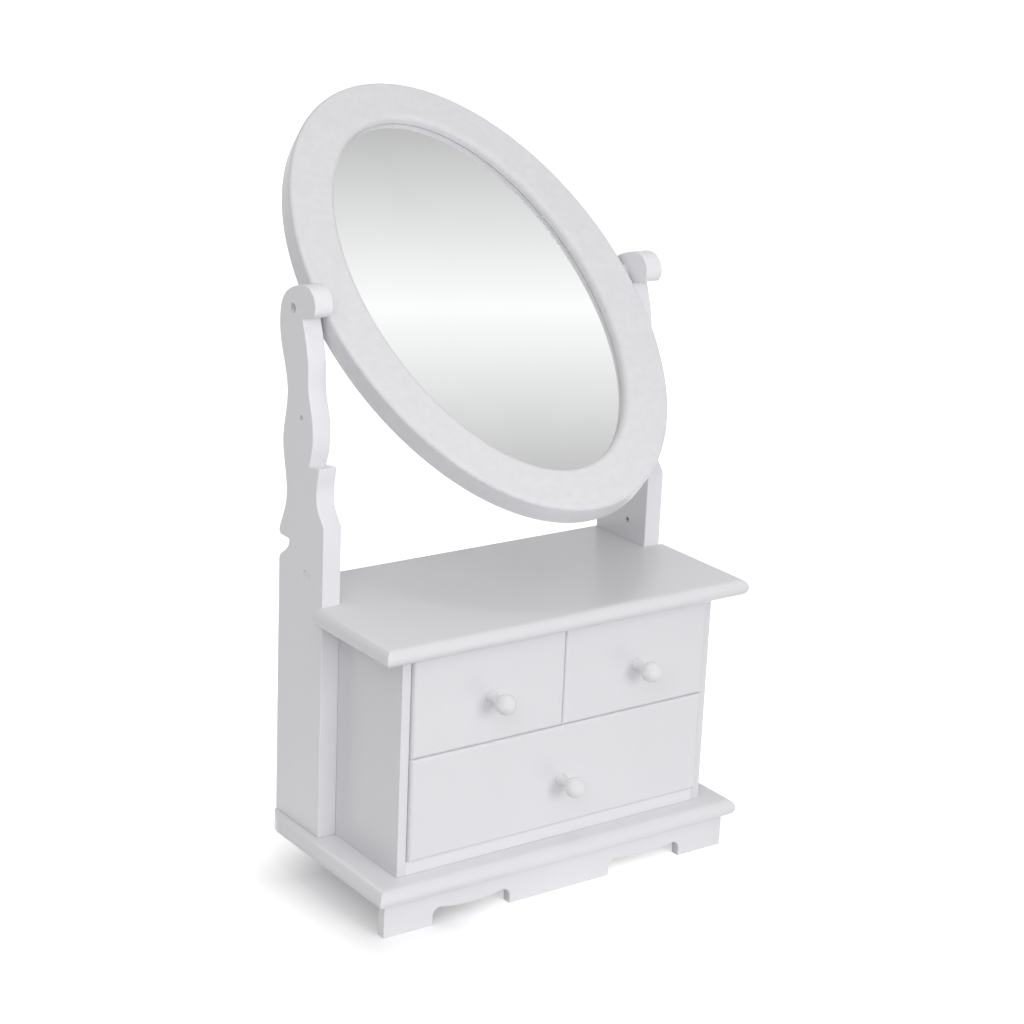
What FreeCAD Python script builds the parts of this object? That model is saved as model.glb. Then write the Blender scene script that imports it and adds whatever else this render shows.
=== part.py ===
import FreeCAD, Part
import math
import os

# Dressing table mirror: a small cabinet of three drawers with an oval mirror swung between two scroll posts.
# Millimetres. X runs from left to right, Y from front to back and Z up.
# The origin is on the floor, at the middle of the sole of the front skirt's centre foot.

V = FreeCAD.Vector

# Cabinet body
body_width = 280.0
body_depth = 148.5
body_height = 169.0
side_panel_t = 7.5
back_panel_t = 4.0
bottom_panel_t = 11.0
shelf_t = 9.0
divider_t = 9.0
lower_cell_height = 80.5

# Moulded boards above and below the body
base_board_t = 14.5
base_overhang_front = 17.5
base_overhang_side = 24.5
base_rear_ease = 8.5
base_rear_ease_length = 30.5
top_board_t = 13.5
top_overhang_front = 16.0
top_overhang_side = 23.0

# Front skirt, rear foot rail and the glue blocks behind them
skirt_height = 25.0
skirt_t = 8.0
skirt_half_width = 156.5
skirt_forward = 10.3
centre_foot_half_width = 46.2
outer_foot_inner_x = 114.4
cutout_step = 6.5
cutout_corner_r = 6.4
cutout_swell = 2.8
rail_half_width = 110.0
rail_t = 12.0
rail_inset = 10.0
glue_block_leg = 14.0
glue_block_length = 24.0

# Drawers
front_t = 12.0
front_proud = 4.0
front_round = 2.5
front_gap = 0.3
box_wall_t = 8.0
box_bottom_t = 3.0
box_bottom_rise = 5.0
box_groove = 4.0
box_head_room = 14.0
box_side_clearance = 0.8
box_run_clearance = 0.3
box_rear_clearance = 6.0
front_stop_clearance = 0.3

# Turned knobs and their screws
knob_ball_r = 7.75
knob_neck_r = 3.4
knob_collar_r = 4.2
knob_foot_r = 4.4
knob_foot_t = 1.2
knob_reach = 18.5
knob_below_centre = 2.4
knob_screw_r = 1.75
knob_screw_bite = 13.0
knob_screw_head_r = 3.6
knob_screw_head_t = 2.2

# Scroll posts
post_t = 15.0
post_depth = 63.0
post_above_pivot = 18.8
plug_r = 5.0
plug_t = 4.0
plug_sink = 0.8
plug_dish_r = 4.2
plug_dish_depth = 1.0
plug_above_top = 16.5
plug_from_front = 23.0
plug_screw_hole_r = 2.0
spare_hole_r = 1.9
spare_hole_depth = 8.0
spare_hole_below_pivot = 77.8
spare_hole_from_back = 29.5

# Oval mirror
mirror_height = 404.8
frame_t = 18.0
frame_band = 36.4
frame_outer_round = 3.0
frame_lip_round = 5.0
glass_t = 4.0
glass_rebate = 6.0
glass_clearance = 0.5
back_board_t = 6.0
swing_clearance = 4.8
pivot_above_centre = 4.0
pivot_from_back = 16.0
mirror_tilt_deg = 50.0

# Pivot hardware
washer_t = 2.0
washer_r = 7.0
washer_clearance = 0.1
bolt_r = 2.5
bolt_head_r = 3.3
bolt_head_t = 2.8
bolt_counterbore_r = 3.6
bolt_counterbore_depth = 9.0
running_clearance = 0.05
insert_r = 4.5
insert_length = 12.0
insert_sink = 0.6

# Clips that hold the mirror's back board
clip_length = 18.0
clip_width = 7.0
clip_t = 1.2
clip_screw_r = 1.2
clip_screw_head_r = 2.4
clip_screw_head_t = 1.2
clip_screw_bite = 6.0
clip_count = 6

# Hidden fasteners
fastener_clearance = 0.05
base_screw_r = 1.75
base_screw_head_r = 3.5
base_screw_length = 22.0
base_screw_inset_x = 30.0
base_screw_inset_y = 26.0
post_screw_r = 1.5
post_screw_head_r = 3.0
post_screw_length = 18.0
post_screw_count = 3
post_screw_end_margin = 26.0
dowel_r = 2.0
dowel_length = 18.0
dowel_in_top = 8.0
dowel_inset_y = 32.0
pin_r = 0.8
pin_head_r = 1.6
pin_head_t = 0.6
pin_length = 14.0
pin_count = 3
pin_margin = 24.0

cut_overrun = 1.0

# Scroll outline of a post above the top board, as shares of its depth (0 at the back edge, 1 at the
# front edge) and of its height (0 at the top board, 1 at the crown).
cove_shares = [(1.0, 0.258), (0.952, 0.275), (0.857, 0.313), (0.83, 0.348), (0.844, 0.391), (0.876, 0.442)]
waist_shares = [(0.648, 0.435), (0.713, 0.487), (0.733, 0.532), (0.7, 0.598), (0.616, 0.678),
                (0.602, 0.755), (0.535, 0.835), (0.46, 0.893)]
head_shares = [(0.667, 0.907), (0.724, 0.923), (0.737, 0.943), (0.698, 0.974), (0.595, 0.996), (0.452, 1.0),
               (0.302, 0.991), (0.157, 0.975), (0.056, 0.954), (-0.017, 0.923), (-0.048, 0.88),
               (-0.027, 0.811), (0.068, 0.734), (0.141, 0.659), (0.116, 0.582), (0.056, 0.491),
               (0.089, 0.421), (0.149, 0.335), (0.135, 0.279), (0.064, 0.23), (-0.01, 0.18)]
notch_lip_share = (0.027, 0.166)
notch_shares = [(0.225, 0.165), (0.214, 0.147), (0.119, 0.119), (0.01, 0.093), (0.0, 0.075)]

# Levels and planes worked out from the sizes above
half_body = body_width / 2
front_y = skirt_forward - skirt_t / 2
back_y = front_y + body_depth
base_z = skirt_height
body_z = base_z + base_board_t
roof_z = body_z + body_height
top_z = roof_z + top_board_t
floor_z = body_z + bottom_panel_t
cell_z = floor_z + lower_cell_height
shelf_z = cell_z - shelf_t / 2
inner_half = half_body - side_panel_t
face_y = front_y - front_proud
stop_y = face_y + front_t
carcass_y = stop_y + front_stop_clearance
panel_y = back_y - back_panel_t
post_front_y = back_y - post_depth
frame_half_width = half_body - washer_t - 2 * washer_clearance
frame_half_height = mirror_height / 2
pivot_y = back_y - pivot_from_back
pivot_z = top_z + swing_clearance + frame_half_height + pivot_above_centre
post_top_z = pivot_z + post_above_pivot
glass_half_width = frame_half_width - frame_band + glass_rebate
glass_half_height = frame_half_height - frame_band + glass_rebate
frame_back = -frame_t / 2
frame_front = frame_t / 2
board_front = frame_back + back_board_t
glass_front = board_front + glass_t
knob_hole_depth = knob_screw_bite + fastener_clearance


def box(x0, x1, y0, y1, z0, z1):
    return Part.makeBox(x1 - x0, y1 - y0, z1 - z0, V(x0, y0, z0))


def rod(start, direction, radius, length):
    return Part.makeCylinder(radius, length, start, direction)


def line(a, b):
    return Part.makeLine(a, b)


def curve(points):
    spline = Part.BSplineCurve()
    spline.interpolate(points)
    return spline.toShape()


def prism(edges, extent):
    return Part.Face(Part.Wire(edges)).extrude(extent)


def mirrored(shape):
    return shape.mirror(V(0, 0, 0), V(1, 0, 0))


def drilled(shape, tools):
    for tool in tools:
        shape = shape.cut(tool)
    return shape


def countersunk(start, direction, radius, head_r, length):
    """A flush screw: a cone of head_r that narrows to the shank, then the shank."""
    head_t = head_r - radius
    head = Part.makeCone(head_r, radius, head_t, start, direction)
    return head.fuse(rod(start, direction, radius, length)).removeSplitter()


def countersunk_hole(start, direction, radius, head_r, length):
    return countersunk(start, direction, radius + fastener_clearance, head_r + fastener_clearance,
                       length + fastener_clearance)


def save(name, shape):
    shape.exportStep("parts/" + name + ".step")


def save_group(name, shapes):
    save(name, Part.makeCompound(shapes))


# Moulded boards

def bullnosed_board(half_width, nose_y, z0, thickness):
    """A board with a half-round nose on its front and both ends, mitred where the noses meet."""
    nose_r = thickness / 2
    mid = z0 + nose_r
    z1 = z0 + thickness
    low = V(-half_width, nose_y + nose_r, z0)
    high = V(-half_width, nose_y + nose_r, z1)
    rear_low = V(-half_width, back_y, z0)
    rear_high = V(-half_width, back_y, z1)
    nose = Part.Arc(low, V(-half_width, nose_y, mid), high).toShape()
    across = prism([line(rear_low, low), nose, line(high, rear_high), line(rear_high, rear_low)],
                   V(2 * half_width, 0, 0))
    flat = half_width - nose_r
    right = Part.Arc(V(flat, nose_y, z0), V(half_width, nose_y, mid), V(flat, nose_y, z1)).toShape()
    left = Part.Arc(V(-flat, nose_y, z1), V(-half_width, nose_y, mid), V(-flat, nose_y, z0)).toShape()
    along = prism([line(V(-flat, nose_y, z0), V(flat, nose_y, z0)), right,
                   line(V(flat, nose_y, z1), V(-flat, nose_y, z1)), left],
                  V(0, back_y - nose_y, 0))
    return across.common(along)


def base_plan(half_width, nose_y):
    """The base board's outline from above, its rear corners eased in towards the posts."""
    ease_y = back_y - base_rear_ease_length
    chord = math.hypot(base_rear_ease, base_rear_ease_length)
    radius = chord ** 2 / (2 * base_rear_ease)
    half_turn = math.asin(base_rear_ease_length / radius) / 2
    mid_x = half_width - radius * (1 - math.cos(half_turn))
    mid_y = ease_y + radius * math.sin(half_turn)
    rear_x = half_width - base_rear_ease
    z0 = base_z - cut_overrun
    right = Part.Arc(V(half_width, ease_y, z0), V(mid_x, mid_y, z0), V(rear_x, back_y, z0)).toShape()
    left = Part.Arc(V(-rear_x, back_y, z0), V(-mid_x, mid_y, z0), V(-half_width, ease_y, z0)).toShape()
    edges = [line(V(-half_width, ease_y, z0), V(-half_width, nose_y, z0)),
             line(V(-half_width, nose_y, z0), V(half_width, nose_y, z0)),
             line(V(half_width, nose_y, z0), V(half_width, ease_y, z0)),
             right, line(V(rear_x, back_y, z0), V(-rear_x, back_y, z0)), left]
    return prism(edges, V(0, 0, base_board_t + 2 * cut_overrun))


def base_screw_places():
    x = inner_half - base_screw_inset_x
    return [V(side * x, y, base_z) for side in (-1, 1)
            for y in (front_y + base_screw_inset_y, back_y - base_screw_inset_y)]


def make_base_board():
    half_width = half_body + base_overhang_side
    nose_y = front_y - base_overhang_front
    board = bullnosed_board(half_width, nose_y, base_z, base_board_t)
    board = board.common(base_plan(half_width, nose_y))
    holes = [countersunk_hole(p, V(0, 0, 1), base_screw_r, base_screw_head_r, base_screw_length)
             for p in base_screw_places()]
    save("base_board", drilled(board, holes))
    save_group("base_screws", [countersunk(p, V(0, 0, 1), base_screw_r, base_screw_head_r, base_screw_length)
                               for p in base_screw_places()])


def dowel_places():
    x = half_body - side_panel_t / 2
    z = roof_z + dowel_in_top - dowel_length
    return [V(side * x, y, z) for side in (-1, 1) for y in (front_y + dowel_inset_y, back_y - dowel_inset_y)]


def dowel_hole(place):
    start = place - V(0, 0, fastener_clearance)
    return rod(start, V(0, 0, 1), dowel_r + fastener_clearance, dowel_length + 2 * fastener_clearance)


def make_top_board():
    half_width = half_body + top_overhang_side
    board = bullnosed_board(half_width, front_y - top_overhang_front, roof_z, top_board_t)
    notch = box(half_body, half_width + cut_overrun, post_front_y, back_y + cut_overrun,
                roof_z - cut_overrun, top_z + cut_overrun)
    holes = [dowel_hole(p) for p in dowel_places()]
    save("top_board", drilled(board, [notch, mirrored(notch)] + holes))
    save_group("top_dowels", [rod(p, V(0, 0, 1), dowel_r, dowel_length) for p in dowel_places()])


# Feet

def skirt_cutout():
    """One scalloped gap between two feet: a step, a round, and a crown that swells downwards."""
    x0 = centre_foot_half_width
    x1 = outer_foot_inner_x
    y = -skirt_t / 2 - cut_overrun
    low = -cut_overrun
    crown = cutout_step + cutout_corner_r
    r_mid = cutout_corner_r * math.sqrt(0.5)
    near_mid = V(x0 + cutout_corner_r - r_mid, y, cutout_step + r_mid)
    far_mid = V(x1 - cutout_corner_r + r_mid, y, cutout_step + r_mid)
    near_top = V(x0 + cutout_corner_r, y, crown)
    far_top = V(x1 - cutout_corner_r, y, crown)
    belly = V((x0 + x1) / 2, y, crown - cutout_swell)
    edges = [line(V(x1, y, low), V(x0, y, low)), line(V(x0, y, low), V(x0, y, cutout_step)),
             Part.Arc(V(x0, y, cutout_step), near_mid, near_top).toShape(),
             Part.Arc(near_top, belly, far_top).toShape(),
             Part.Arc(far_top, far_mid, V(x1, y, cutout_step)).toShape(),
             line(V(x1, y, cutout_step), V(x1, y, low))]
    return prism(edges, V(0, skirt_t + 2 * cut_overrun, 0))


def glue_block(x, y, direction):
    """A triangular block in the corner under the base board, against a face at y."""
    x0 = x - glue_block_length / 2
    corner = V(x0, y, base_z)
    out = V(x0, y + direction * glue_block_leg, base_z)
    down = V(x0, y, base_z - glue_block_leg)
    return prism([line(corner, out), line(out, down), line(down, corner)], V(glue_block_length, 0, 0))


def make_feet():
    skirt = box(-skirt_half_width, skirt_half_width, -skirt_t / 2, skirt_t / 2, 0, skirt_height)
    cutout = skirt_cutout()
    save("front_skirt", drilled(skirt, [cutout, mirrored(cutout)]))
    rail_back = back_y - rail_inset
    rail_front = rail_back - rail_t
    save("rear_foot_rail", box(-rail_half_width, rail_half_width, rail_front, rail_back, 0, skirt_height))
    outer_x = (outer_foot_inner_x + skirt_half_width) / 2
    rail_x = rail_half_width / 2
    save_group("glue_blocks", [glue_block(x, skirt_t / 2, 1) for x in (-outer_x, 0, outer_x)]
               + [glue_block(x, rail_front, -1) for x in (-rail_x, rail_x)])


# Carcass

def post_screw_places():
    """Screw heads on the right side panel's inner face, in a row up the middle of the post."""
    y = (post_front_y + back_y) / 2
    pitch = (body_height - 2 * post_screw_end_margin) / (post_screw_count - 1)
    return [V(inner_half, y, body_z + post_screw_end_margin + i * pitch) for i in range(post_screw_count)]


def post_screw_holes():
    return [countersunk_hole(p, V(1, 0, 0), post_screw_r, post_screw_head_r, post_screw_length)
            for p in post_screw_places()]


def pin_places():
    pitch = (2 * inner_half - 2 * pin_margin) / (pin_count - 1)
    return [V(-inner_half + pin_margin + i * pitch, back_y, z)
            for z in (body_z + bottom_panel_t / 2, cell_z) for i in range(pin_count)]


def panel_pin(place, grow):
    head = rod(place, V(0, -1, 0), pin_head_r + grow, pin_head_t + grow)
    return head.fuse(rod(place, V(0, -1, 0), pin_r + grow, pin_length + grow)).removeSplitter()


def make_carcass():
    panel = box(inner_half, half_body, front_y, back_y, body_z, roof_z)
    panel = drilled(panel, post_screw_holes() + [dowel_hole(p) for p in dowel_places()])
    save("right_side_panel", panel)
    save("left_side_panel", mirrored(panel))
    pin_holes = [panel_pin(p, fastener_clearance) for p in pin_places()]
    back = box(-inner_half, inner_half, panel_y, back_y, body_z, roof_z)
    save("back_panel", drilled(back, pin_holes))
    screw_holes = [countersunk_hole(p, V(0, 0, 1), base_screw_r, base_screw_head_r, base_screw_length)
                   for p in base_screw_places()]
    bottom = box(-inner_half, inner_half, front_y, panel_y, body_z, floor_z)
    save("bottom_panel", drilled(bottom, screw_holes + pin_holes))
    shelf = box(-inner_half, inner_half, carcass_y, panel_y, shelf_z, shelf_z + shelf_t)
    save("drawer_shelf", drilled(shelf, pin_holes))
    save("drawer_divider", box(-divider_t / 2, divider_t / 2, carcass_y, panel_y, shelf_z + shelf_t, roof_z))
    save_group("back_panel_pins", [panel_pin(p, 0) for p in pin_places()])


# Posts

def post_point(x, shares):
    depth_share, height_share = shares
    return V(x, back_y - depth_share * post_depth, top_z + height_share * (post_top_z - top_z))


def post_outline(x):
    cove = [post_point(x, s) for s in cove_shares]
    waist = [post_point(x, s) for s in waist_shares]
    head = [post_point(x, s) for s in head_shares]
    lip = post_point(x, notch_lip_share)
    notch = [post_point(x, s) for s in notch_shares]
    foot_front = V(x, post_front_y, body_z)
    foot_back = V(x, back_y, body_z)
    return [line(foot_back, foot_front), line(foot_front, cove[0]), curve(cove), line(cove[-1], waist[0]),
            curve(waist), line(waist[-1], head[0]), curve(head), line(head[-1], lip), line(lip, notch[0]),
            curve(notch), line(notch[-1], foot_back)]


def plug_place():
    return V(half_body + post_t, post_front_y + plug_from_front, top_z + plug_above_top)


def plug_holes():
    """A counterbore for the plug, and the screw hole that it covers."""
    return [rod(plug_place(), V(-1, 0, 0), plug_r + fastener_clearance, plug_sink + plug_t),
            rod(plug_place(), V(-1, 0, 0), plug_screw_hole_r, post_t + cut_overrun)]


def make_plug():
    """A filler disc set below the post's face, dished by a sphere."""
    face = plug_place() - V(plug_sink, 0, 0)
    dish_r = (plug_dish_r ** 2 + plug_dish_depth ** 2) / (2 * plug_dish_depth)
    dish = Part.makeSphere(dish_r, face + V(dish_r - plug_dish_depth, 0, 0))
    return rod(face, V(-1, 0, 0), plug_r, plug_t).cut(dish)


def make_posts():
    post = prism(post_outline(half_body), V(post_t, 0, 0))
    outer = half_body + post_t
    bore = rod(V(half_body - cut_overrun, pivot_y, pivot_z), V(1, 0, 0), bolt_r + running_clearance,
               post_t + 2 * cut_overrun)
    counterbore = rod(V(outer - bolt_counterbore_depth, pivot_y, pivot_z), V(1, 0, 0), bolt_counterbore_r,
                      bolt_counterbore_depth + cut_overrun)
    spare_hole = rod(V(outer, back_y - spare_hole_from_back, pivot_z - spare_hole_below_pivot), V(-1, 0, 0),
                     spare_hole_r, spare_hole_depth)
    post = drilled(post, [bore, counterbore, spare_hole] + plug_holes() + post_screw_holes())
    save("right_post", post)
    save("left_post", mirrored(post))
    screws = [countersunk(p, V(1, 0, 0), post_screw_r, post_screw_head_r, post_screw_length)
              for p in post_screw_places()]
    save_group("post_screws", screws + [mirrored(s) for s in screws])
    plug = make_plug()
    save_group("post_plugs", [plug, mirrored(plug)])


# Mirror, drawn with the pivot axis along X through the origin, up the frame along Y and its front along Z

def placed_mirror(shape):
    turned = shape.copy()
    turned.rotate(V(0, 0, 0), V(1, 0, 0), 90 - mirror_tilt_deg)
    turned.translate(V(0, pivot_y, pivot_z))
    return turned


def oval(half_width, half_height, z0, z1):
    centre = V(0, -pivot_above_centre, z0)
    ring = Part.Ellipse(centre + V(0, half_height, 0), centre + V(half_width, 0, 0), centre)
    return prism([ring.toShape()], V(0, 0, z1 - z0))


def front_edges(shape, z):
    return [e for e in shape.Edges if e.BoundBox.ZMin > z and e.BoundBox.XLength > frame_band]


def clip_screw_places():
    """Points on the frame's back, half a clip out from the edge of the back board."""
    half_width = glass_half_width + clip_length / 4
    half_height = glass_half_height + clip_length / 4
    turns = [2 * math.pi * (i + 0.5) / clip_count for i in range(clip_count)]
    return [V(half_width * math.cos(t), half_height * math.sin(t) - pivot_above_centre, frame_back)
            for t in turns]


def clip_screw_hole(place):
    return rod(place, V(0, 0, 1), clip_screw_r + fastener_clearance, clip_screw_bite + fastener_clearance)


def make_clip(place):
    turn = math.degrees(math.atan2(place.y + pivot_above_centre, place.x))
    plate = box(-clip_length / 2, clip_length / 2, -clip_width / 2, clip_width / 2, -clip_t, 0)
    plate = plate.cut(rod(V(clip_length / 4, 0, -clip_t - cut_overrun), V(0, 0, 1),
                          clip_screw_r + fastener_clearance, clip_t + 2 * cut_overrun))
    plate.translate(V(-clip_length / 4, 0, 0))
    plate.rotate(V(0, 0, 0), V(0, 0, 1), turn)
    plate.translate(place)
    return plate


def make_clip_screw(place):
    head = rod(place - V(0, 0, clip_t + clip_screw_head_t), V(0, 0, 1), clip_screw_head_r, clip_screw_head_t)
    shank = rod(place - V(0, 0, clip_t), V(0, 0, 1), clip_screw_r, clip_t + clip_screw_bite)
    return head.fuse(shank).removeSplitter()


def make_mirror():
    ring = oval(frame_half_width, frame_half_height, frame_back, frame_front)
    ring = ring.makeFillet(frame_outer_round, front_edges(ring, frame_front - frame_outer_round))
    opening = oval(frame_half_width - frame_band, frame_half_height - frame_band,
                   frame_back - cut_overrun, frame_front + cut_overrun)
    ring = ring.cut(opening)
    lip = [e for e in front_edges(ring, frame_front - frame_outer_round / 2)
           if e.BoundBox.XMax < frame_half_width - frame_band + frame_lip_round]
    ring = ring.makeFillet(frame_lip_round, lip)
    ring = ring.cut(oval(glass_half_width, glass_half_height, frame_back - cut_overrun, glass_front))
    insert_outer = frame_half_width - insert_sink
    insert_inner = insert_outer - insert_length
    pocket = rod(V(insert_inner, 0, 0), V(1, 0, 0), insert_r + fastener_clearance,
                 insert_length + insert_sink + cut_overrun)
    clips = clip_screw_places()
    ring = drilled(ring, [pocket, mirrored(pocket)] + [clip_screw_hole(p) for p in clips])
    save("mirror_frame", placed_mirror(ring))
    fit_width = glass_half_width - glass_clearance
    fit_height = glass_half_height - glass_clearance
    save("mirror_glass", placed_mirror(oval(fit_width, fit_height, board_front, glass_front)))
    save("mirror_back_board", placed_mirror(oval(fit_width, fit_height, frame_back, board_front)))
    save_group("back_board_clips", [placed_mirror(make_clip(p)) for p in clips])
    save_group("clip_screws", [placed_mirror(make_clip_screw(p)) for p in clips])
    make_pivots(insert_inner)


def make_pivots(insert_inner):
    seat = half_body + post_t - bolt_counterbore_depth
    head_inner = seat + washer_clearance
    thread_r = bolt_r + fastener_clearance
    shank = rod(V(insert_inner, 0, 0), V(1, 0, 0), bolt_r, head_inner - insert_inner)
    head = rod(V(head_inner, 0, 0), V(1, 0, 0), bolt_head_r, bolt_head_t)
    bolt = head.fuse(shank).removeSplitter()
    insert = rod(V(insert_inner, 0, 0), V(1, 0, 0), insert_r, insert_length)
    insert = insert.cut(rod(V(insert_inner - cut_overrun, 0, 0), V(1, 0, 0), thread_r,
                            insert_length + 2 * cut_overrun))
    washer_inner = frame_half_width + washer_clearance
    washer = rod(V(washer_inner, 0, 0), V(1, 0, 0), washer_r, washer_t)
    washer = washer.cut(rod(V(washer_inner - cut_overrun, 0, 0), V(1, 0, 0), thread_r,
                            washer_t + 2 * cut_overrun))
    for name, shape in (("pivot_bolt", bolt), ("pivot_insert", insert), ("pivot_washer", washer)):
        save("right_" + name, placed_mirror(shape))
        save("left_" + name, placed_mirror(mirrored(shape)))


# Drawers

def make_front(x0, x1, z0, z1):
    board = box(x0, x1, face_y, stop_y, z0, z1)
    face_edges = [e for e in board.Edges if e.BoundBox.YMax < face_y + front_round / 2]
    return board.makeFillet(front_round, face_edges)


def make_knob(x, z):
    """A turned ball on a waisted neck, revolved about the line through the front's centre."""
    def at(radius, reach):
        return V(x + radius, face_y - reach, z)
    ball_join = knob_reach - math.sqrt(knob_ball_r ** 2 - knob_collar_r ** 2)
    waist = Part.Arc(at(knob_foot_r, knob_foot_t), at(knob_neck_r, (knob_foot_t + ball_join) / 2),
                     at(knob_collar_r, ball_join)).toShape()
    ball = Part.Arc(at(knob_collar_r, ball_join), at(knob_ball_r, knob_reach),
                    at(0, knob_reach + knob_ball_r)).toShape()
    edges = [line(at(0, 0), at(knob_foot_r, 0)), line(at(knob_foot_r, 0), at(knob_foot_r, knob_foot_t)),
             waist, ball, line(at(0, knob_reach + knob_ball_r), at(0, 0))]
    solid = Part.Face(Part.Wire(edges)).revolve(V(x, face_y, z), V(0, 1, 0), 360)
    return solid.cut(rod(V(x, face_y, z), V(0, -1, 0), knob_screw_r + fastener_clearance, knob_hole_depth))


def make_knob_screw(x, z):
    head = rod(V(x, stop_y, z), V(0, 1, 0), knob_screw_head_r, knob_screw_head_t)
    shank = rod(V(x, stop_y, z), V(0, -1, 0), knob_screw_r, front_t + knob_screw_bite)
    return head.fuse(shank).removeSplitter()


def make_drawer(name, front_x, box_x, front_z, cell_floor, cell_roof):
    front_x0, front_x1 = front_x
    box_x0, box_x1 = box_x
    mid_x = (front_x0 + front_x1) / 2
    knob_z = (front_z[0] + front_z[1]) / 2 - knob_below_centre
    front = make_front(front_x0, front_x1, front_z[0], front_z[1])
    hole = rod(V(mid_x, face_y - cut_overrun, knob_z), V(0, 1, 0), knob_screw_r + fastener_clearance,
               front_t + 2 * cut_overrun)
    save(name + "_front", front.cut(hole))
    save(name + "_knob", make_knob(mid_x, knob_z))
    save(name + "_knob_screw", make_knob_screw(mid_x, knob_z))
    rear_y = panel_y - box_rear_clearance
    low = cell_floor + box_run_clearance
    high = cell_roof - box_head_room
    bottom_z = low + box_bottom_rise
    bottom_top = bottom_z + box_bottom_t
    tongue = box_groove - fastener_clearance
    left_in = box_x0 + box_wall_t
    right_in = box_x1 - box_wall_t
    groove = box(left_in - box_groove, right_in + box_groove, stop_y - cut_overrun, rear_y + cut_overrun,
                 bottom_z - fastener_clearance, bottom_top + fastener_clearance)
    save(name + "_left_side", box(box_x0, left_in, stop_y, rear_y, low, high).cut(groove))
    save(name + "_right_side", box(right_in, box_x1, stop_y, rear_y, low, high).cut(groove))
    save(name + "_bottom", box(left_in - tongue, right_in + tongue, stop_y, rear_y, bottom_z, bottom_top))
    save(name + "_back", box(left_in, right_in, rear_y - box_wall_t, rear_y, bottom_top, high))


def make_drawers():
    outer = inner_half - front_gap
    box_outer = inner_half - box_side_clearance
    box_inner = divider_t / 2 + box_side_clearance
    upper_z = (cell_z + front_gap / 2, roof_z - front_gap)
    lower_z = (floor_z + front_gap, cell_z - front_gap / 2)
    half_gap = front_gap / 2
    shelf_top = shelf_z + shelf_t
    make_drawer("left_drawer", (-outer, -half_gap), (-box_outer, -box_inner), upper_z, shelf_top, roof_z)
    make_drawer("right_drawer", (half_gap, outer), (box_inner, box_outer), upper_z, shelf_top, roof_z)
    make_drawer("lower_drawer", (-outer, outer), (-box_outer, box_outer), lower_z, floor_z, shelf_z)


def main():
    os.makedirs("parts", exist_ok=True)
    make_base_board()
    make_top_board()
    make_feet()
    make_carcass()
    make_posts()
    make_mirror()
    make_drawers()


main()
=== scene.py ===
import math

import bpy
from mathutils import Matrix, Vector

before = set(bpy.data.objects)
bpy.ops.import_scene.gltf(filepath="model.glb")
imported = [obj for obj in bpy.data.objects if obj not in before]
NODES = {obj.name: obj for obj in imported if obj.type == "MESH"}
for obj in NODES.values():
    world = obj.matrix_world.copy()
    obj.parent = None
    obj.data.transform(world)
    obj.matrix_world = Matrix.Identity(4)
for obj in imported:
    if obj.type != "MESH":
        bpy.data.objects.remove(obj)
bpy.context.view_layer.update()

DRAWERS = ("left_drawer", "right_drawer", "lower_drawer")
MM_PER_M = 1000.0
FULL = (0.0, 1.0)

# Where the mix node keeps its numbers and its colours
NUMBER_A, NUMBER_B, NUMBER_OUT = 2, 3, 0
COLOUR_A, COLOUR_B, COLOUR_OUT = 6, 7, 2


class Nodes:
    """A node tree, with short calls to add and join nodes."""

    def __init__(self, tree):
        self.tree = tree

    def add(self, kind, **settings):
        node = self.tree.nodes.new(kind)
        for key, value in settings.items():
            setattr(node, key, value)
        return node

    def join(self, source, target):
        self.tree.links.new(source, target)

    def feed(self, value, socket):
        """Joins another node's output to a socket, or sets a constant on it."""
        if hasattr(value, "is_linked"):
            self.join(value, socket)
        else:
            socket.default_value = value

    def number(self, operation, first, second=None):
        node = self.add("ShaderNodeMath", operation=operation)
        self.feed(first, node.inputs[0])
        if second is not None:
            self.feed(second, node.inputs[1])
        return node.outputs["Value"]

    def span(self, value, low, high, from_low=0.0, from_high=1.0):
        """Maps a range of a value to another range and clamps it there."""
        node = self.add("ShaderNodeMapRange")
        node.inputs["From Min"].default_value = from_low
        node.inputs["From Max"].default_value = from_high
        node.inputs["To Min"].default_value = low
        node.inputs["To Max"].default_value = high
        self.join(value, node.inputs["Value"])
        return node.outputs["Result"]

    def mix(self, factor, first, second):
        """Mixes two numbers."""
        node = self.add("ShaderNodeMix")
        self.join(factor, node.inputs[0])
        self.feed(first, node.inputs[NUMBER_A])
        self.feed(second, node.inputs[NUMBER_B])
        return node.outputs[NUMBER_OUT]

    def blend(self, factor, first, second):
        """Mixes two tones."""
        node = self.add("ShaderNodeMix", data_type="RGBA")
        self.join(factor, node.inputs["Factor"])
        for index, tone in ((COLOUR_A, first), (COLOUR_B, second)):
            self.feed(tone if hasattr(tone, "is_linked") else (*tone, 1.0), node.inputs[index])
        return node.outputs[COLOUR_OUT]


# Sanded edges: widths in millimetres, lengths in metres

EASED_MM = {"left_post": 0.7, "right_post": 0.7, "top_board": 0.6, "base_board": 0.6, "front_skirt": 0.7,
            "left_side_panel": 0.6, "right_side_panel": 0.6, "bottom_panel": 0.6, "rear_foot_rail": 0.6,
            "mirror_frame": 0.6}
EASED_STEPS = 3
WELD_M = 1e-6
FLAT_ANGLE = math.radians(0.3)
CORNER_ANGLE = math.radians(50.0)
CREASE_ANGLE = math.radians(32.0)
LONG_M = 0.06


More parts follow.
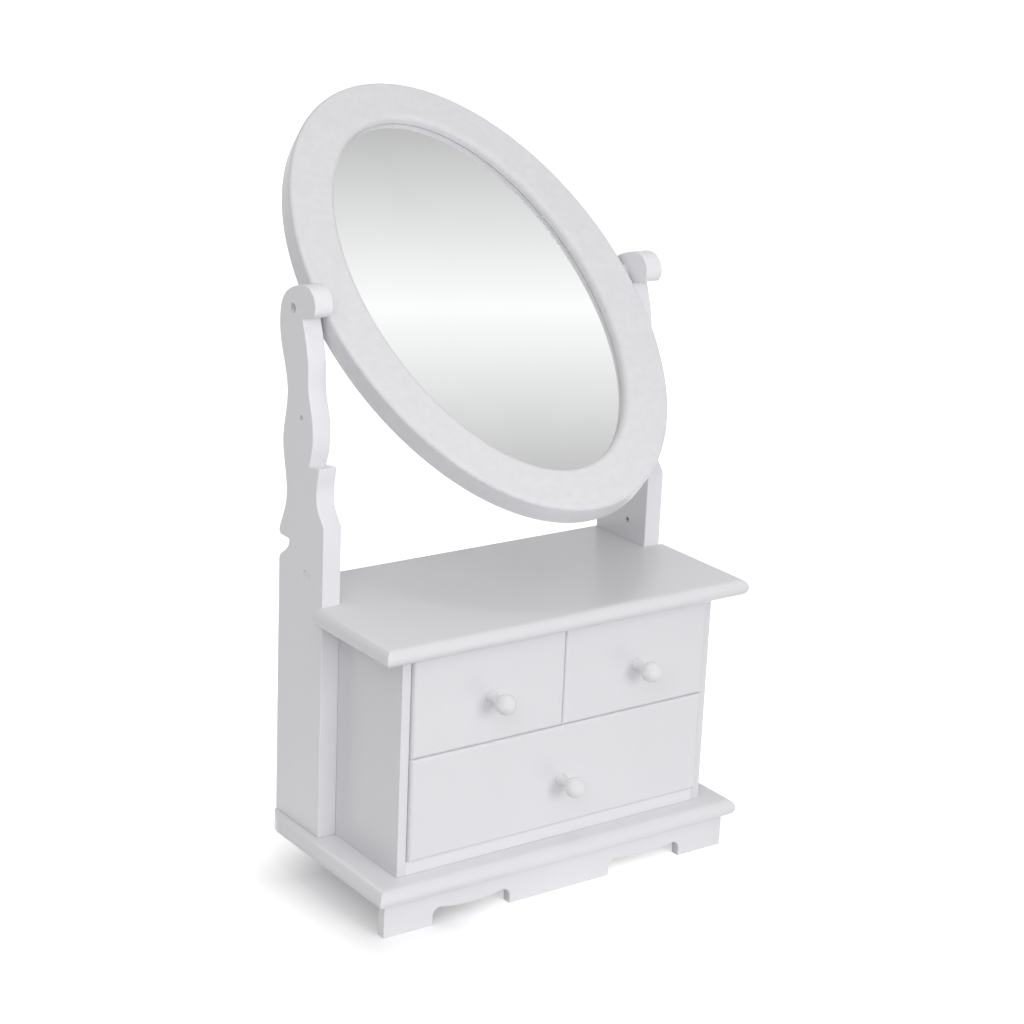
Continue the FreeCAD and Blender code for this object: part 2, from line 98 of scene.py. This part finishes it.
class Shape(Nodes):
    """A geometry node group with one mesh in and one mesh out."""

    def __init__(self, name):
        super().__init__(bpy.data.node_groups.new(name, "GeometryNodeTree"))
        for way in ("INPUT", "OUTPUT"):
            self.tree.interface.new_socket("Geometry", in_out=way, socket_type="NodeSocketGeometry")
        self.mesh = self.add("NodeGroupInput").outputs[0]
        self.result = self.add("NodeGroupOutput").inputs[0]

    def over(self, value, limit):
        node = self.add("FunctionNodeCompare", operation="GREATER_THAN")
        node.inputs[1].default_value = limit
        self.join(value, node.inputs[0])
        return node.outputs[0]

    def bent(self, angle):
        """The edges whose faces meet at more than an angle."""
        return self.over(self.add("GeometryNodeInputMeshEdgeAngle").outputs["Unsigned Angle"], angle)

    def chain_length(self, sharp):
        """For each edge, the length of the chain of sharp edges that it lies on."""
        plain = self.add("FunctionNodeBooleanMath", operation="NOT")
        self.join(sharp, plain.inputs[0])
        wires = self.add("GeometryNodeDeleteGeometry", domain="EDGE", mode="EDGE_FACE")
        self.join(self.mesh, wires.inputs["Geometry"])
        self.join(plain.outputs[0], wires.inputs["Selection"])
        ends = self.add("GeometryNodeInputMeshEdgeVertices")
        length = self.add("ShaderNodeVectorMath", operation="DISTANCE")
        self.join(ends.outputs["Position 1"], length.inputs[0])
        self.join(ends.outputs["Position 2"], length.inputs[1])
        total = self.add("GeometryNodeAccumulateField", data_type="FLOAT", domain="EDGE")
        self.join(length.outputs["Value"], total.inputs["Value"])
        self.join(self.add("GeometryNodeInputMeshIsland").outputs["Island Index"], total.inputs["Group ID"])
        nearest = self.add("GeometryNodeSampleNearest", domain="EDGE")
        self.join(wires.outputs[0], nearest.inputs["Geometry"])
        sample = self.add("GeometryNodeSampleIndex", data_type="FLOAT", domain="EDGE")
        self.join(wires.outputs[0], sample.inputs["Geometry"])
        self.join(total.outputs["Total"], sample.inputs["Value"])
        self.join(nearest.outputs["Index"], sample.inputs["Index"])
        return sample.outputs[0]


def corner_group():
    """Marks the long corners, which sanding rounds, and leaves out the rims of bores."""
    shape = Shape("long_corners")
    sharp = shape.bent(CORNER_ANGLE)
    both = shape.add("FunctionNodeBooleanMath", operation="AND")
    shape.join(sharp, both.inputs[0])
    shape.join(shape.over(shape.chain_length(sharp), LONG_M), both.inputs[1])
    store = shape.add("GeometryNodeStoreNamedAttribute", data_type="FLOAT", domain="EDGE")
    store.inputs["Name"].default_value = "bevel_weight_edge"
    shape.join(shape.mesh, store.inputs["Geometry"])
    shape.join(both.outputs[0], store.inputs["Value"])
    shape.join(store.outputs[0], shape.result)
    return shape.tree


def crease_group():
    """Shades a mesh smooth, with a crease only at sharp corners."""
    shape = Shape("creases")
    normals = shape.add("GeometryNodeSetMeshNormal")
    normals.inputs["Remove Custom"].default_value = True
    shape.join(shape.mesh, normals.inputs["Mesh"])
    shape.join(shape.bent(CREASE_ANGLE), normals.inputs["Edge Sharpness"])
    shape.join(normals.outputs[0], shape.result)
    return shape.tree


def ease(node, width, corners, creases):
    """Rounds a node's long sharp edges a little, by modifiers on the unchanged mesh."""
    weld = node.modifiers.new("weld", "WELD")
    weld.merge_threshold = WELD_M
    flat = node.modifiers.new("flat", "DECIMATE")
    flat.decimate_type = "DISSOLVE"
    flat.angle_limit = FLAT_ANGLE
    mark = node.modifiers.new("corners", "NODES")
    mark.node_group = corners
    bevel = node.modifiers.new("eased", "BEVEL")
    bevel.width = width
    bevel.segments = EASED_STEPS
    bevel.limit_method = "WEIGHT"
    bevel.use_clamp_overlap = False
    bevel.loop_slide = False
    crease = node.modifiers.new("creases", "NODES")
    crease.node_group = creases
    even = node.modifiers.new("even", "WEIGHTED_NORMAL")
    even.keep_sharp = True


def ease_all():
    corners = corner_group()
    creases = crease_group()
    for name, width in EASED_MM.items():
        ease(NODES[name], width / MM_PER_M, corners, creases)


# Materials: tones are linear, noise scales are per metre and bump heights are in metres

EVEN = (1.0, 1.0, 1.0)
ALONG_X = (0.10, 1.0, 1.0)
ALONG_Z = (1.0, 1.0, 0.10)
NOISE_REACH = (0.3, 0.7)

PAINT_CLOUD = {"scale": 9.0, "detail": 4.0}
PAINT_PATCH = {"scale": 55.0, "detail": 4.0, "roughness": 0.55}
PAINT_STROKE = {"scale": 260.0, "detail": 3.0, "roughness": 0.55}
PAINT_SCUFF = {"scale": 130.0, "detail": 4.0, "roughness": 0.6}
PAINT_LOW = (0.784, 0.784, 0.808)
PAINT_HIGH = (0.804, 0.806, 0.824)
PATCH_TONE = (0.764, 0.764, 0.792)
STROKE_TONE = (0.740, 0.740, 0.765)
SCUFF_TONE = (0.700, 0.700, 0.722)
CLOUD_RANGE = (0.1, 0.9)
PATCH_SHARE = 0.40
STROKE_SHARE = 0.16
STROKE_HEIGHT = 0.00003
STROKE_STRENGTH = 0.12
PAINT_ROUGH = (0.28, 0.30)
PAINT_SHINE = 0.5
FRAME_SHINE = 0.28
FRAME_SCUFFS = 0.5
# Painted light: the posts' paint is a lighter copy of the same white, for the light on their faces
POST_PAINTED_LIGHT = 1.10
# Painted light: the bottom rail's paint is a lighter copy of the same white, against the shade under the
# lower drawer
RAIL_PAINTED_LIGHT = 1.12

KNOB_CLOUD = {"scale": 60.0, "detail": 3.0}
KNOB_PEEL = {"scale": 1800.0, "detail": 2.0}
KNOB_LOW = (0.785, 0.785, 0.803)
KNOB_HIGH = (0.815, 0.815, 0.828)
KNOB_ROUGH = (0.20, 0.26)
PEEL_HEIGHT = 0.00001
PEEL_STRENGTH = 0.4

FIBRE = {"scale": 260.0, "detail": 5.0, "roughness": 0.6}
FIBRE_STRETCH = 0.04
FIBRE_LOW = (0.520, 0.400, 0.265)
FIBRE_HIGH = (0.690, 0.565, 0.405)
FIBRE_HEIGHT = 0.0002
FIBRE_STRENGTH = 0.4
FINE_SPECK = {"scale": 900.0, "detail": 2.0}
BOARD_SPECK_TONE = (0.430, 0.315, 0.195)
BOARD_SPECK_SHARE = 0.3
BOARD_ROUGH = (0.62, 0.80)

FACED_CLOUD = {"scale": 18.0, "detail": 4.0}
FACED_SPECK = {"scale": 600.0, "detail": 2.0}
FACED_LOW = (0.640, 0.632, 0.615)
FACED_HIGH = (0.700, 0.695, 0.682)
FACED_SPECK_TONE = (0.560, 0.550, 0.530)
FACED_SPECK_SHARE = 0.25
FACED_ROUGH = (0.50, 0.65)
FACED_HEIGHT = 0.00003
FACED_STRENGTH = 0.5

BRUSHED = {"scale": 700.0, "detail": 3.0, "roughness": 0.6, "stretch": (0.15, 1.0, 1.0)}
STEEL = {"low": (0.42, 0.42, 0.44), "high": (0.60, 0.60, 0.62), "rough": (0.28, 0.45)}
BRASS = {"low": (0.50, 0.36, 0.14), "high": (0.68, 0.52, 0.25), "rough": (0.25, 0.40)}

NYLON_LOW = (0.70, 0.70, 0.71)
NYLON_HIGH = (0.78, 0.78, 0.79)
NYLON_ROUGH = (0.4, 0.55)

SILVER_FILM = {"scale": 14.0, "detail": 4.0}
SILVER_LOW = (0.945, 0.950, 0.952)
SILVER_HIGH = (0.965, 0.968, 0.970)
SILVER_ROUGH = (0.012, 0.035)


class Graph(Nodes):
    """A material's node tree around its Principled shader, in the object's own coordinates."""

    def __init__(self, name):
        self.material = bpy.data.materials.new(name)
        self.material.use_nodes = True
        super().__init__(self.material.node_tree)
        self.shader = self.tree.nodes["Principled BSDF"]
        self.coords = self.add("ShaderNodeTexCoord").outputs["Object"]

    def noise(self, scale, detail, roughness=0.5, stretch=EVEN):
        mapping = self.add("ShaderNodeMapping")
        mapping.inputs["Scale"].default_value = stretch
        self.join(self.coords, mapping.inputs["Vector"])
        noise = self.add("ShaderNodeTexNoise")
        noise.inputs["Scale"].default_value = scale
        noise.inputs["Detail"].default_value = detail
        noise.inputs["Roughness"].default_value = roughness
        self.join(mapping.outputs["Vector"], noise.inputs["Vector"])
        return noise.outputs["Fac"]

    def vary(self, noise, low, high):
        """Maps the usual reach of a noise to a range of its own."""
        return self.span(noise, low, high, *NOISE_REACH)

    def bump(self, height, distance, strength):
        node = self.add("ShaderNodeBump")
        node.inputs["Strength"].default_value = strength
        node.inputs["Distance"].default_value = distance
        self.join(height, node.inputs["Height"])
        return node.outputs["Normal"]

    def set(self, **values):
        for key, value in values.items():
            self.feed(value, self.shader.inputs[key.replace("_", " ")])


def lifted(tone, painted_light):
    return tuple(painted_light * part for part in tone)


def paint(name, stretch, shine=PAINT_SHINE, scuffs=0.0, painted_light=1.0):
    """Satin white paint: faint clouds and patches, and marks of the roller or brush.

    scuffs is the share of a darker mottle, and painted_light makes the whole paint lighter, as painted
    light on pieces that should read brighter than the same paint elsewhere.
    """
    g = Graph(name)
    cloud = g.noise(**PAINT_CLOUD)
    patch = g.noise(**PAINT_PATCH)
    strokes = g.noise(**PAINT_STROKE, stretch=stretch)
    tone = g.blend(g.span(cloud, *FULL, *CLOUD_RANGE), lifted(PAINT_LOW, painted_light), lifted(PAINT_HIGH, painted_light))
    tone = g.blend(g.span(patch, 0.0, PATCH_SHARE), tone, lifted(PATCH_TONE, painted_light))
    tone = g.blend(g.span(strokes, 0.0, STROKE_SHARE), tone, lifted(STROKE_TONE, painted_light))
    if scuffs > 0.0:
        tone = g.blend(g.vary(g.noise(**PAINT_SCUFF), 0.0, scuffs), tone, SCUFF_TONE)
    normal = g.bump(strokes, STROKE_HEIGHT, STROKE_STRENGTH)
    g.set(Base_Color=tone, Roughness=g.vary(patch, *PAINT_ROUGH), Specular_IOR_Level=shine, Normal=normal)
    return g.material


def knob_paint():
    g = Graph("knob_paint")
    cloud = g.noise(**KNOB_CLOUD)
    peel = g.noise(**KNOB_PEEL)
    tone = g.blend(g.vary(cloud, *FULL), KNOB_LOW, KNOB_HIGH)
    normal = g.bump(peel, PEEL_HEIGHT, PEEL_STRENGTH)
    g.set(Base_Color=tone, Roughness=g.vary(cloud, *KNOB_ROUGH), Normal=normal)
    return g.material


def bare_board(name, along):
    """Unpainted pale board: fibres along one axis."""
    g = Graph(name)
    stretch = list(EVEN)
    stretch[along] = FIBRE_STRETCH
    fibre = g.noise(**FIBRE, stretch=stretch)
    speck = g.noise(**FINE_SPECK)
    tone = g.blend(g.vary(fibre, *FULL), FIBRE_LOW, FIBRE_HIGH)
    tone = g.blend(g.vary(speck, 0.0, BOARD_SPECK_SHARE), tone, BOARD_SPECK_TONE)
    normal = g.bump(fibre, FIBRE_HEIGHT, FIBRE_STRENGTH)
    g.set(Base_Color=tone, Roughness=g.vary(speck, *BOARD_ROUGH), Normal=normal)
    return g.material


def faced_board():
    """White-faced hardboard, for the back of the mirror."""
    g = Graph("faced_board")
    cloud = g.noise(**FACED_CLOUD)
    speck = g.noise(**FACED_SPECK)
    tone = g.blend(g.vary(cloud, *FULL), FACED_LOW, FACED_HIGH)
    tone = g.blend(g.vary(speck, 0.0, FACED_SPECK_SHARE), tone, FACED_SPECK_TONE)
    normal = g.bump(speck, FACED_HEIGHT, FACED_STRENGTH)
    g.set(Base_Color=tone, Roughness=g.vary(speck, *FACED_ROUGH), Normal=normal)
    return g.material


def metal(name, low, high, rough):
    g = Graph(name)
    brushed = g.noise(**BRUSHED)
    tone = g.blend(g.vary(brushed, *FULL), low, high)
    g.set(Base_Color=tone, Metallic=1.0, Roughness=g.vary(brushed, *rough))
    return g.material


def nylon():
    g = Graph("washer_plastic")
    speck = g.noise(**FINE_SPECK)
    tone = g.blend(g.vary(speck, *FULL), NYLON_LOW, NYLON_HIGH)
    g.set(Base_Color=tone, Roughness=g.vary(speck, *NYLON_ROUGH))
    return g.material


def mirror_silver():
    """Silvered glass with a faint film of dust in its roughness."""
    g = Graph("mirror_glass")
    film = g.noise(**SILVER_FILM)
    tone = g.blend(g.vary(film, *FULL), SILVER_LOW, SILVER_HIGH)
    g.set(Base_Color=tone, Metallic=1.0, Roughness=g.vary(film, *SILVER_ROUGH))
    return g.material


def dress(names, material):
    for name in names:
        slots = NODES[name].data.materials
        slots.clear()
        slots.append(material)


def in_drawers(*pieces):
    """The names of some pieces in all three drawers."""
    return [drawer + "_" + piece for drawer in DRAWERS for piece in pieces]


def dress_painted():
    paint_x = paint("white_paint_x", ALONG_X)
    dress(("base_board", "top_board", "front_skirt"), paint_x)
    dress(in_drawers("front"), paint_x)
    dress(in_drawers("knob"), knob_paint())
    # The bottom rail gets a lighter copy of the white paint: painted light over the shade under the lower
    # drawer
    dress(("bottom_panel",), paint("white_paint_rail", ALONG_X, painted_light=RAIL_PAINTED_LIGHT))
    dress(("left_side_panel", "right_side_panel"), paint("white_paint_z", ALONG_Z))
    # The posts get a lighter copy of the white paint: painted light
    dress(("left_post", "right_post", "post_plugs"), paint("white_paint_posts", ALONG_Z, painted_light=POST_PAINTED_LIGHT))
    dress(("mirror_frame",), paint("white_paint_even", EVEN, FRAME_SHINE, FRAME_SCUFFS))


def dress_unpainted():
    board_x = bare_board("bare_board_x", 0)
    board_y = bare_board("bare_board_y", 1)
    steel = metal("steel", **STEEL)
    dress(("rear_foot_rail", "glue_blocks", "back_panel", "drawer_shelf"), board_x)
    dress(in_drawers("back", "bottom"), board_x)
    dress(("drawer_divider", "top_dowels"), board_y)
    dress(in_drawers("left_side", "right_side"), board_y)
    dress(("base_screws", "post_screws", "back_panel_pins", "back_board_clips", "clip_screws"), steel)
    dress(in_drawers("knob_screw"), steel)
    dress(("left_pivot_bolt", "right_pivot_bolt"), steel)
    dress(("left_pivot_insert", "right_pivot_insert"), metal("brass", **BRASS))
    dress(("left_pivot_washer", "right_pivot_washer"), nylon())
    dress(("mirror_back_board",), faced_board())
    dress(("mirror_glass",), mirror_silver())


# Floor: tones are linear, places and fades are in metres

FLOOR_HALF = 14.0
FLOOR_TONE = (0.90, 0.90, 0.91)
FLOOR_ROUGHNESS = 0.9
FLOOR_GLOW = (0.06, 0.80)
FLOOR_FADE = (-0.02, 0.11)
SHADOW_AT = (-0.134, 0.050, 0.0)
SHADOW_HALF = (0.030, 0.061, 0.0)
CONTACT_AT = (0.030, 0.1025, 0.0)
CONTACT_HALF = (0.130, 0.0525, 0.0)
CONTACT_FADE = (0.0, 0.06)
BOUNCE_NEAR = (0.90, 0.90, 0.91)
BOUNCE_FAR = (0.52, 0.52, 0.53)
BOUNCE_FADE = (0.0, 0.20)
BOUNCE_AT = (-0.034, 0.040, 0.0)
BOUNCE_HALF = (0.130, 0.051, 0.0)
ORIGIN = (0.0, 0.0, 0.0)


def distance_outside(g, middle, half):
    """How far a point on the floor lies outside a rectangle."""
    value = g.coords
    for operation, other in (("SUBTRACT", middle), ("ABSOLUTE", None), ("SUBTRACT", half),
                             ("MAXIMUM", ORIGIN), ("LENGTH", None)):
        node = g.add("ShaderNodeVectorMath", operation=operation)
        g.join(value, node.inputs[0])
        if other is not None:
            node.inputs[1].default_value = other
        value = node.outputs[0]
    return node.outputs["Value"]


def floor_material():
    """White that keeps the shadow by the left side and under the base, and glows evenly further away.

    The light that it throws back on the object fades with the distance from the base.
    """
    g = Graph("floor")
    path = g.add("ShaderNodeLightPath").outputs
    from_base = distance_outside(g, BOUNCE_AT, BOUNCE_HALF)
    bounce = g.blend(g.span(from_base, *FULL, *BOUNCE_FADE), BOUNCE_NEAR, BOUNCE_FAR)
    tone = g.blend(path["Is Diffuse Ray"], FLOOR_TONE, bounce)
    g.set(Base_Color=tone, Roughness=FLOOR_ROUGHNESS, Specular_IOR_Level=0.0)
    by_left = g.span(distance_outside(g, SHADOW_AT, SHADOW_HALF), *FLOOR_GLOW, *FLOOR_FADE)
    by_base = g.span(distance_outside(g, CONTACT_AT, CONTACT_HALF), *FLOOR_GLOW, *CONTACT_FADE)
    level = g.number("MINIMUM", by_left, by_base)
    seen = g.number("MAXIMUM", path["Is Camera Ray"], path["Is Glossy Ray"])
    glow = g.add("ShaderNodeEmission")
    g.join(g.number("MULTIPLY", seen, level), glow.inputs["Strength"])
    both = g.add("ShaderNodeAddShader")
    g.join(g.shader.outputs["BSDF"], both.inputs[0])
    g.join(glow.outputs["Emission"], both.inputs[1])
    g.join(both.outputs["Shader"], g.tree.nodes["Material Output"].inputs["Surface"])
    return g.material


def make_floor():
    mesh = bpy.data.meshes.new("floor")
    corners = [(sx * FLOOR_HALF, sy * FLOOR_HALF, 0.0) for sx, sy in ((-1, -1), (1, -1), (1, 1), (-1, 1))]
    mesh.from_pydata(corners, [], [(0, 1, 2, 3)])
    mesh.materials.append(floor_material())
    floor = bpy.data.objects.new("floor", mesh)
    bpy.context.scene.collection.objects.link(floor)


# World: levels of light, and the strip's place and half width as parts of a unit direction

WHITE = (1.0, 1.0, 1.0, 1.0)
WHITE_LEVEL = 1.0
AMBIENT_LOW = 0.28
AMBIENT_HIGH = 0.72
STRIP_AXIS = (-0.0906, -0.9956, -0.0259)
STRIP_AT = 0.0035
STRIP_HALF = 0.075
STRIP_DIM = 0.53
STRIP_BRIGHT = 1.03
HORIZON_FADE = (0.25, 0.55)


def overhead_strip(w, direction):
    """The level of a soft bright strip that runs overhead, square to its axis."""
    across = w.add("ShaderNodeVectorMath", operation="DOT_PRODUCT")
    across.inputs[1].default_value = STRIP_AXIS
    w.join(direction, across.inputs[0])
    off_strip = w.number("ABSOLUTE", w.number("SUBTRACT", across.outputs["Value"], STRIP_AT))
    return w.span(off_strip, STRIP_BRIGHT, STRIP_DIM, 0.0, STRIP_HALF)


def make_world():
    """Even light on the object, white behind it, and a strip overhead that polished things reflect."""
    world = bpy.data.worlds.new("studio")
    bpy.context.scene.world = world
    world.use_nodes = True
    w = Nodes(world.node_tree)
    path = w.add("ShaderNodeLightPath").outputs
    direction = w.add("ShaderNodeTexCoord").outputs["Generated"]
    parts = w.add("ShaderNodeSeparateXYZ")
    w.join(direction, parts.inputs[0])
    height = parts.outputs["Z"]
    ambient = w.span(height, AMBIENT_LOW, AMBIENT_HIGH)
    above = w.span(height, *FULL, *HORIZON_FADE)
    dome = w.mix(above, WHITE_LEVEL, overhead_strip(w, direction))
    indirect = w.mix(path["Is Glossy Ray"], ambient, dome)
    level = w.mix(path["Is Camera Ray"], indirect, WHITE_LEVEL)
    background = w.tree.nodes["Background"]
    background.inputs["Color"].default_value = WHITE
    w.join(level, background.inputs["Strength"])


# Lamps: degrees, metres and watts; shows says whether gloss reflects the lamp

LAMPS = {
    "key": {"azimuth": 6.0, "elevation": 16.0, "distance": 2.6,
            "size": 1.2, "watts": 22.0, "shows": False},
    "fill": {"azimuth": -42.0, "elevation": 30.0, "distance": 1.5,
             "size": 0.8, "watts": 4.6, "shows": False},
    "over": {"azimuth": -35.0, "elevation": 70.0, "distance": 2.2,
             "size": 0.22, "watts": 2.5, "shows": True},
}
LIT_POINT = Vector((0.0, 0.05, 0.25))


def outward(azimuth, elevation):
    """The direction from the object to a place round it; azimuth 0 is in front and 90 on the right."""
    turn, rise = math.radians(azimuth), math.radians(elevation)
    return Vector((math.sin(turn) * math.cos(rise), -math.cos(turn) * math.cos(rise), math.sin(rise)))


def make_lamp(name, azimuth, elevation, distance, size, watts, shows):
    """A square soft box that faces the object."""
    data = bpy.data.lights.new(name, "AREA")
    data.shape = "SQUARE"
    data.size = size
    data.energy = watts
    lamp = bpy.data.objects.new(name, data)
    out = outward(azimuth, elevation)
    lamp.location = LIT_POINT + distance * out
    lamp.rotation_euler = out.to_track_quat("Z", "Y").to_euler()
    lamp.visible_glossy = shows
    bpy.context.scene.collection.objects.link(lamp)


# Camera, from a fit to the photograph (metres, degrees and pixels)

IMAGE_PX = 1024
FOCAL_PX = 2394.983
SENSOR_MM = 36.0
CAMERA_AT = (-0.9978, -1.3041, 0.8103)
CAMERA_AZIMUTH = -35.829
CAMERA_ELEVATION = 17.423
CAMERA_ROLL = 2.457


def make_camera():
    turn, roll = math.radians(CAMERA_AZIMUTH), math.radians(CAMERA_ROLL)
    back = outward(CAMERA_AZIMUTH, CAMERA_ELEVATION)
    right = Vector((math.cos(turn), math.sin(turn), 0.0))
    up = back.cross(right)
    rolled_right = math.cos(roll) * right + math.sin(roll) * up
    rolled_up = math.cos(roll) * up - math.sin(roll) * right
    facing = Matrix((rolled_right, rolled_up, back)).transposed()
    data = bpy.data.cameras.new("camera")
    data.sensor_width = SENSOR_MM
    data.lens = SENSOR_MM * FOCAL_PX / IMAGE_PX
    camera = bpy.data.objects.new("camera", data)
    camera.matrix_world = Matrix.Translation(CAMERA_AT) @ facing.to_4x4()
    bpy.context.scene.collection.objects.link(camera)
    bpy.context.scene.camera = camera


def make_stage():
    make_floor()
    make_world()
    for name, lamp in LAMPS.items():
        make_lamp(name, **lamp)
    make_camera()
    bpy.context.scene.view_settings.view_transform = "Standard"


ease_all()
dress_painted()
dress_unpainted()
make_stage()
